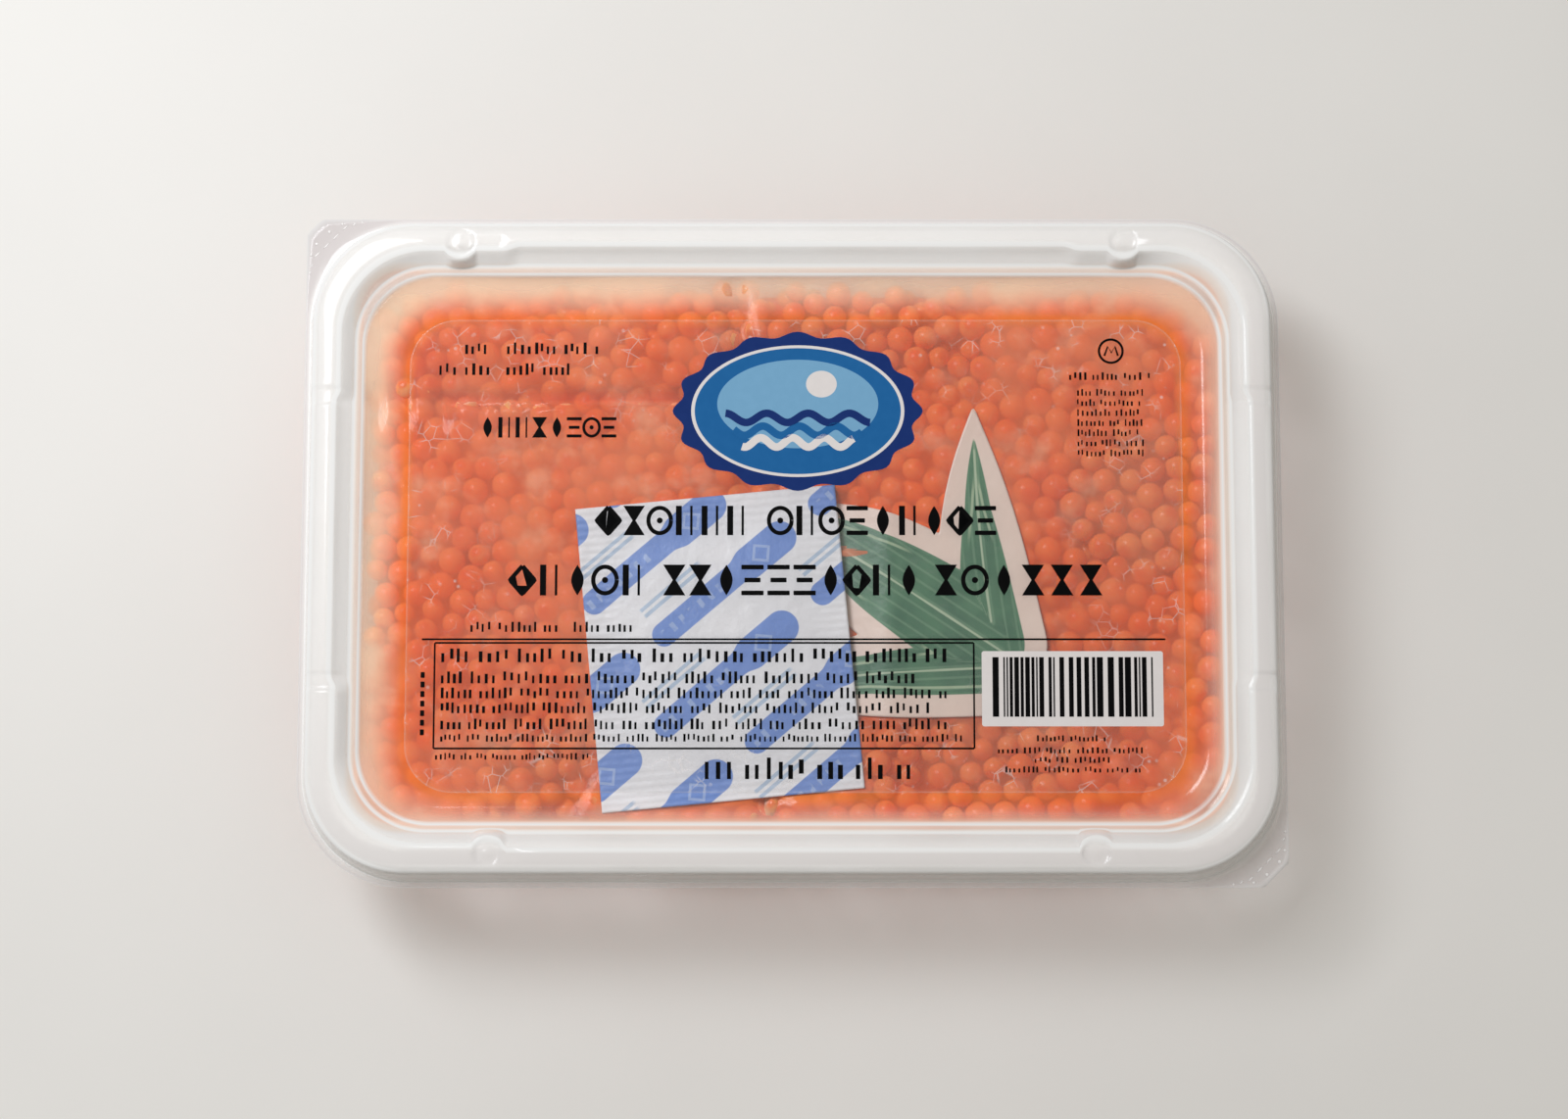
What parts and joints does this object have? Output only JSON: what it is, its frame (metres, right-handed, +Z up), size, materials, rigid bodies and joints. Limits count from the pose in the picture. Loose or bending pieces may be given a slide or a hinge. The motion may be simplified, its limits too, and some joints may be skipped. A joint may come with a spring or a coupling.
{
  "type": "sealed tub of salmon roe",
  "caption": "Shut clear plastic tub with a push-on lid, filled with salmon roe, with a striped sachet and a leaf sheet under the lid and a clear label on it.",
  "frame": {"origin": "middle of the pack's outline, on the surface that the tub stands on", "axes": "+X along the long side, to the right in the picture; +Y away from the reader of the label; +Z up"},
  "size_m": [0.165, 0.1134, 0.028],
  "materials": {
    "clear_plastic": "clear formed sheet, slightly milky, glossy",
    "label_film": null,
    "roe": "wet translucent orange eggs",
    "sachet_film": "white film-faced paper with light blue bands",
    "leaf_sheet": "printed green plastic sheet with a white border"
  },
  "bodies": {
    "root": {"tub": "clear_plastic", "lid": "clear_plastic", "label": "label_film", "roe": "roe", "sachet": "sachet_film", "leaf": "leaf_sheet"}
  },
  "joints": []
}
